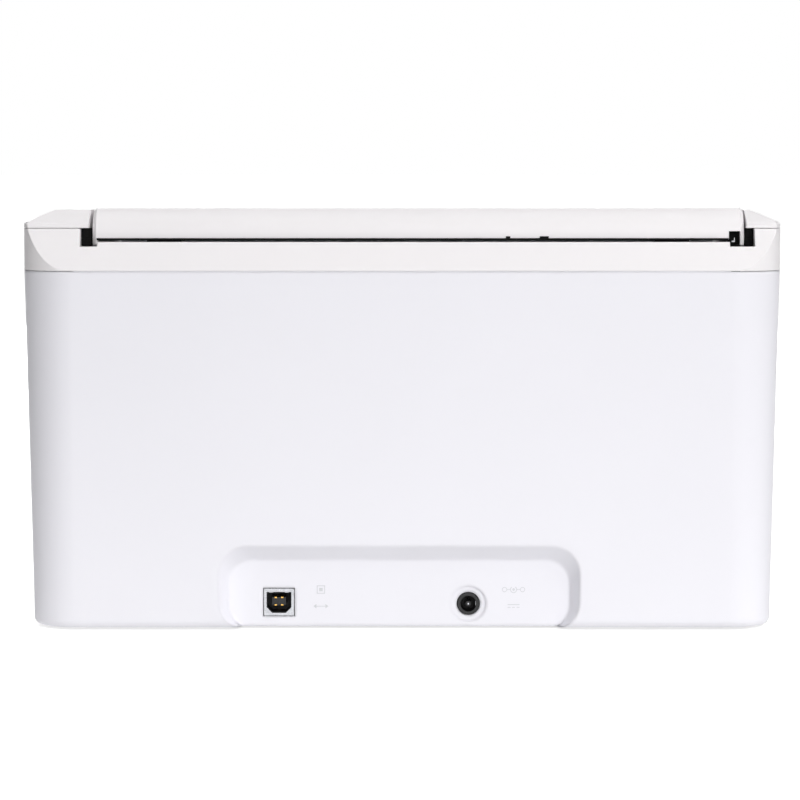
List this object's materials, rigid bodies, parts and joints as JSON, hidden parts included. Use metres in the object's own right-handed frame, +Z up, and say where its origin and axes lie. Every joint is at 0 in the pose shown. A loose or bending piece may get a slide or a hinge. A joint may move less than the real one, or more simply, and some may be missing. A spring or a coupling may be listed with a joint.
{
  "type": "document scanner",
  "caption": "Desktop sheet-fed document scanner with a lid that opens into the input tray, a hinged front cover, and a pull-out output tray.",
  "frame": {"origin": "on the desk, under the middle of the case", "axes": "+Z up, +Y towards the connectors at the rear, +X towards the wide arm with the buttons"},
  "size_m": [0.3024, 0.172, 0.1686],
  "materials": {
    "case_white": "satin",
    "trim_grey": "satin",
    "inner_black": "matte",
    "steel": "satin",
    "nickel_shell": "satin",
    "gear_acetal": "matte",
    "roller_rubber": "matte",
    "foot_rubber": "matte",
    "sensor_glass": "gloss",
    "board_green": "satin",
    "lens_clear": "gloss",
    "key_grey": "satin",
    "bush_brass": "satin"
  },
  "bodies": {
    "case": {"base_chassis": "trim_grey", "rubber_feet": "foot_rubber", "rear_cover": "case_white", "side_cover_left": "case_white", "side_cover_right": "case_white", "upper_frame": "case_white", "arm_cap_left": "case_white", "arm_cap_right": "case_white", "side_frame_left": "steel", "side_frame_right": "steel", "rear_paper_guide": "inner_black", "exit_chute": "inner_black", "sensor_module_rear": "inner_black", "sensor_glass_rear": "sensor_glass", "main_board": "board_green", "data_socket_shell": "nickel_shell", "data_socket_insert": "inner_black", "power_inlet": "inner_black", "drive_motor": "steel", "roller_bushes": "bush_brass", "door_hinge_pins": "steel", "status_lens": "lens_clear"},
    "lower_idler": {"lower_idler_gear": "gear_acetal"},
    "motor_shaft": {"motor_pinion": "gear_acetal"},
    "upper_idler": {"upper_idler_gear": "gear_acetal"},
    "pick_roller": {"pick_shaft": "steel", "pick_tyre": "roller_rubber", "pick_gear": "gear_acetal"},
    "feed_roller": {"feed_shaft": "steel", "feed_tyres": "roller_rubber", "feed_gear": "gear_acetal"},
    "exit_roller": {"exit_shaft": "steel", "exit_tyres": "roller_rubber", "exit_gear": "gear_acetal"},
    "sensor_flag": {"paper_sensor_flag": "inner_black"},
    "front_door": {"front_cover": "case_white", "front_cover_guide": "inner_black", "sensor_module_front": "inner_black", "sensor_glass_front": "sensor_glass"},
    "door_latch": {"cover_latch": "trim_grey"},
    "separation": {"separation_roller": "roller_rubber"},
    "feed_pinch": {"feed_pinch_rollers": "gear_acetal"},
    "exit_pinch": {"exit_pinch_rollers": "gear_acetal"},
    "lid": {"lid_cover": "case_white", "lid_pivot_pins": "steel", "tray_plate": "trim_grey"},
    "guide_left": {"edge_guide_left": "inner_black"},
    "guide_right": {"edge_guide_right": "inner_black"},
    "guide_gear": {"guide_pinion": "gear_acetal"},
    "tray_outer": {"tray_extension_outer": "trim_grey"},
    "tray_inner": {"tray_extension_inner": "trim_grey"},
    "out_tray": {"output_tray": "inner_black"},
    "out_extension": {"output_extension": "inner_black"},
    "out_stop": {"output_stop": "inner_black"},
    "scan_key": {"scan_button": "key_grey"},
    "power_key": {"power_button": "key_grey"}
  },
  "joints": [
    {"name": "pick_spin", "type": "hinge", "parent": "case", "child": "pick_roller", "pos_m": [-0.00645, 0.02787, 0.08675], "axis": [1, 0, 0], "continuous": true},
    {"name": "motor_spin", "type": "hinge", "parent": "case", "child": "motor_shaft", "pos_m": [-0.00645, 0.02897, 0.03591], "axis": [1, 0, 0], "continuous": true},
    {"name": "lower_idler_spin", "type": "hinge", "parent": "case", "child": "lower_idler", "pos_m": [-0.00645, 0.00726, 0.04381], "axis": [1, 0, 0], "continuous": true},
    {"name": "upper_idler_spin", "type": "hinge", "parent": "case", "child": "upper_idler", "pos_m": [-0.00645, 0.02313, 0.06825], "axis": [1, 0, 0], "continuous": true},
    {"name": "feed_spin", "type": "hinge", "parent": "case", "child": "feed_roller", "pos_m": [-0.00645, 0.00804, 0.0689], "axis": [1, 0, 0], "continuous": true},
    {"name": "exit_spin", "type": "hinge", "parent": "case", "child": "exit_roller", "pos_m": [-0.00645, -0.01605, 0.03449], "axis": [1, 0, 0], "continuous": true},
    {"name": "flag_tilt", "type": "hinge", "parent": "case", "child": "sensor_flag", "pos_m": [-0.00645, 0.03783, 0.11518], "axis": [1, 0, 0], "range_deg": [0, 25], "stiffness_Nm_per_rad": 0.002, "springref_deg": -17.19},
    {"name": "door_hinge", "type": "hinge", "parent": "case", "child": "front_door", "pos_m": [-0.00645, -0.07, 0.03], "axis": [1, 0, 0], "range_deg": [0, 60]},
    {"name": "latch_slide", "type": "slide", "parent": "front_door", "child": "door_latch", "axis": [-1, 0, 0], "range_m": [0, 0.004], "stiffness_N_per_m": 300, "springref_m": -0.002},
    {"name": "separation_spin", "type": "hinge", "parent": "front_door", "child": "separation", "pos_m": [-0.00645, 0.00715, 0.10126], "axis": [1, 0, 0], "continuous": true},
    {"name": "feed_pinch_spin", "type": "hinge", "parent": "front_door", "child": "feed_pinch", "pos_m": [-0.00645, -0.00367, 0.0771], "axis": [1, 0, 0], "continuous": true},
    {"name": "exit_pinch_spin", "type": "hinge", "parent": "front_door", "child": "exit_pinch", "pos_m": [-0.00645, -0.02776, 0.04269], "axis": [1, 0, 0], "continuous": true},
    {"name": "lid_hinge", "type": "hinge", "parent": "case", "child": "lid", "pos_m": [-0.00645, 0.062, 0.1572], "axis": [-1, 0, 0], "range_deg": [0, 125]},
    {"name": "guide_left_slide", "type": "slide", "parent": "lid", "child": "guide_left", "axis": [-1, 0, 0], "range_m": [0, 0.08]},
    {"name": "guide_right_slide", "type": "slide", "parent": "lid", "child": "guide_right", "axis": [1, 0, 0], "range_m": [0, 0.08]},
    {"name": "guide_gear_spin", "type": "hinge", "parent": "lid", "child": "guide_gear", "pos_m": [-0.00645, 0.039, 0.1573], "axis": [0, 0, 1], "range_deg": [0, 611.65]},
    {"name": "tray_outer_slide", "type": "slide", "parent": "lid", "child": "tray_outer", "axis": [0, -1, 0], "range_m": [0, 0.086]},
    {"name": "tray_inner_slide", "type": "slide", "parent": "tray_outer", "child": "tray_inner", "axis": [0, -1, 0], "range_m": [0, 0.08]},
    {"name": "out_tray_slide", "type": "slide", "parent": "case", "child": "out_tray", "axis": [0, -1, 0], "range_m": [0, 0.085]},
    {"name": "out_extension_slide", "type": "slide", "parent": "out_tray", "child": "out_extension", "axis": [0, -1, 0], "range_m": [0, 0.076]},
    {"name": "out_stop_hinge", "type": "hinge", "parent": "out_extension", "child": "out_stop", "pos_m": [-0.00645, -0.07932, 0.0073], "axis": [1, 0, 0], "range_deg": [0, 80]},
    {"name": "scan_press", "type": "slide", "parent": "case", "child": "scan_key", "axis": [0, 1, 0], "range_m": [0, 0.0008], "stiffness_N_per_m": 800, "springref_m": -0.0005},
    {"name": "power_press", "type": "slide", "parent": "case", "child": "power_key", "axis": [0, 1, 0], "range_m": [0, 0.0008], "stiffness_N_per_m": 800, "springref_m": -0.0005}
  ],
  "couplings": [
    {"joint": "upper_idler_spin", "follows": "pick_spin", "ratio": -1.375},
    {"joint": "feed_spin", "follows": "pick_spin", "ratio": 1.5714},
    {"joint": "lower_idler_spin", "follows": "pick_spin", "ratio": -0.61111},
    {"joint": "exit_spin", "follows": "pick_spin", "ratio": 1.5714},
    {"joint": "motor_spin", "follows": "pick_spin", "ratio": 2.2},
    {"joint": "guide_right_slide", "follows": "guide_left_slide", "ratio": 1},
    {"joint": "guide_gear_spin", "follows": "guide_left_slide", "rad_per_m": 133.33}
  ]
}
